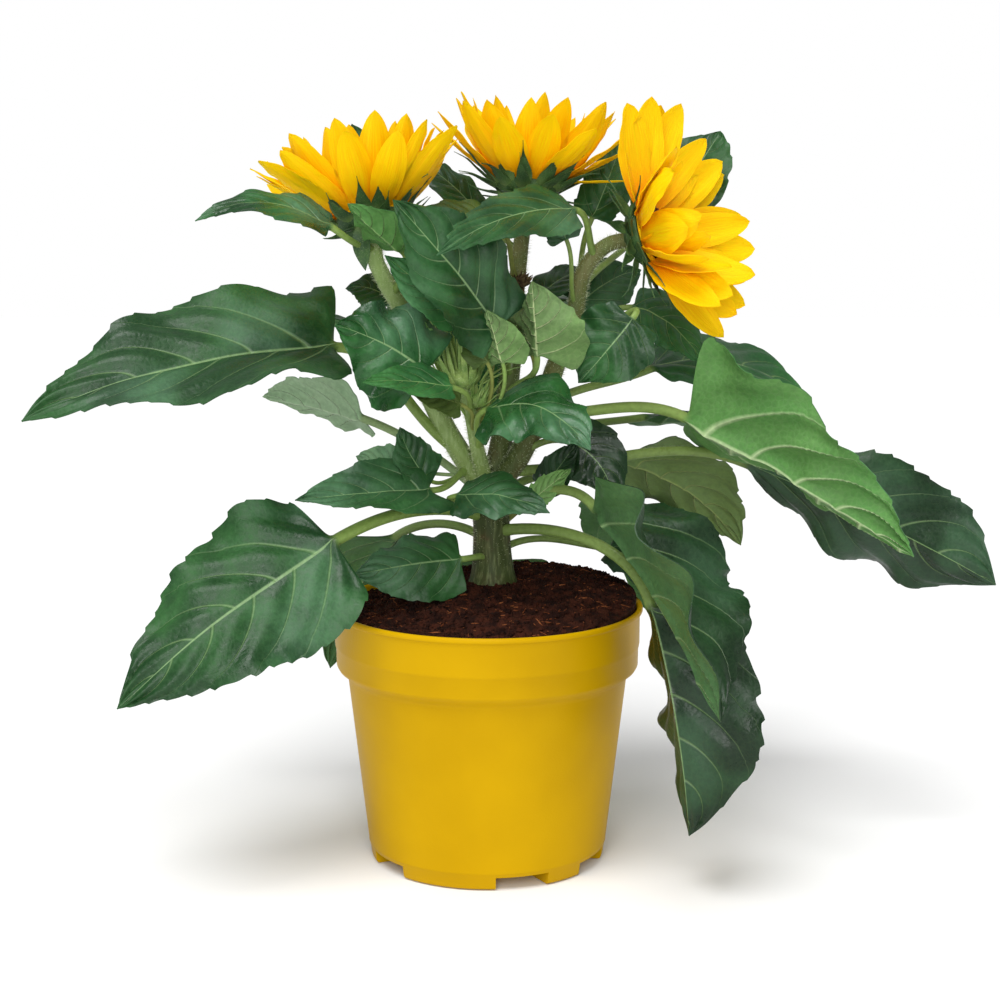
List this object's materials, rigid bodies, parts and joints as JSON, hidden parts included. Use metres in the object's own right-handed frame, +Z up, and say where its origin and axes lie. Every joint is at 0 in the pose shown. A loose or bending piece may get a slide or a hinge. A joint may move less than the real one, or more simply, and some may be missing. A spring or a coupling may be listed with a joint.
{
  "type": "potted sunflower plant",
  "caption": "Compact branching sunflower with yellow flower heads, buds and broad drooping leaves, in a round yellow nursery pot with soil.",
  "frame": {"origin": "centre of the flat underside of the pot", "axes": "+Z up along the pot's axis; +Y away from the viewer of the picture; +X to the viewer's right"},
  "size_m": [0.5211, 0.3081, 0.4217],
  "materials": {
    "pot": "satin yellow moulded plastic",
    "soil": "dark reddish-brown peat with crumbs and fibres",
    "stem": "pale green herbaceous stem with fine hairs",
    "leaf": "deep green with pale veins, slightly glossy",
    "petal": "bright yellow with an orange base",
    "disc": "dark red-brown florets",
    "bract": "mid-green hairy bracts"
  },
  "bodies": {
    "root": {"pot": "pot", "soil": "soil", "main_stem": "stem", "left_flower_stem": "stem", "middle_flower_stem": "stem", "right_flower_stem": "stem", "centre_shoot": "stem", "left_flower_cup": "bract", "left_flower_petals": "petal", "left_flower_disc": "disc", "middle_flower_cup": "bract", "middle_flower_petals": "petal", "middle_flower_disc": "disc", "right_flower_cup": "bract", "right_flower_petals": "petal", "right_flower_disc": "disc", "centre_bud": "bract", "side_bud": "bract", "leaf_left_long": "leaf", "leaf_left_pale": "leaf", "leaf_left_low": "leaf", "leaf_left_small": "leaf", "leaf_on_soil": "leaf", "leaf_front_small": "leaf", "leaf_front_shiny": "leaf", "leaf_right_folded": "leaf", "leaf_right_hanging": "leaf", "leaf_right_olive": "leaf", "leaf_right_far": "leaf", "leaf_right_ribbed": "leaf", "leaf_right_behind": "leaf", "leaf_right_round": "leaf", "leaf_young_pale": "leaf", "leaf_top_level": "leaf", "leaf_top_folded": "leaf", "leaf_top_broad": "leaf", "leaf_left_shiny": "leaf", "leaf_left_light": "leaf", "leaf_by_left_flower": "leaf", "leaf_behind_right_flower": "leaf", "leaf_left_of_right_flower": "leaf", "leaf_behind_left_flower": "leaf", "leaf_between_dark": "leaf", "leaf_between_olive": "leaf", "leaf_behind_gap": "leaf", "leaf_behind_striped": "leaf", "leaf_under_right_flower": "leaf", "leaf_dark_inner": "leaf", "leaf_low_right": "leaf", "leaf_behind_left_stem": "leaf", "leaf_back_hanging": "leaf", "leaf_back_left_low": "leaf", "leaf_back_right_low": "leaf", "leaf_back_left_long": "leaf", "leaf_back_right_long": "leaf", "leaf_back_upper_left": "leaf", "leaf_back_upper_right": "leaf"}
  },
  "joints": []
}
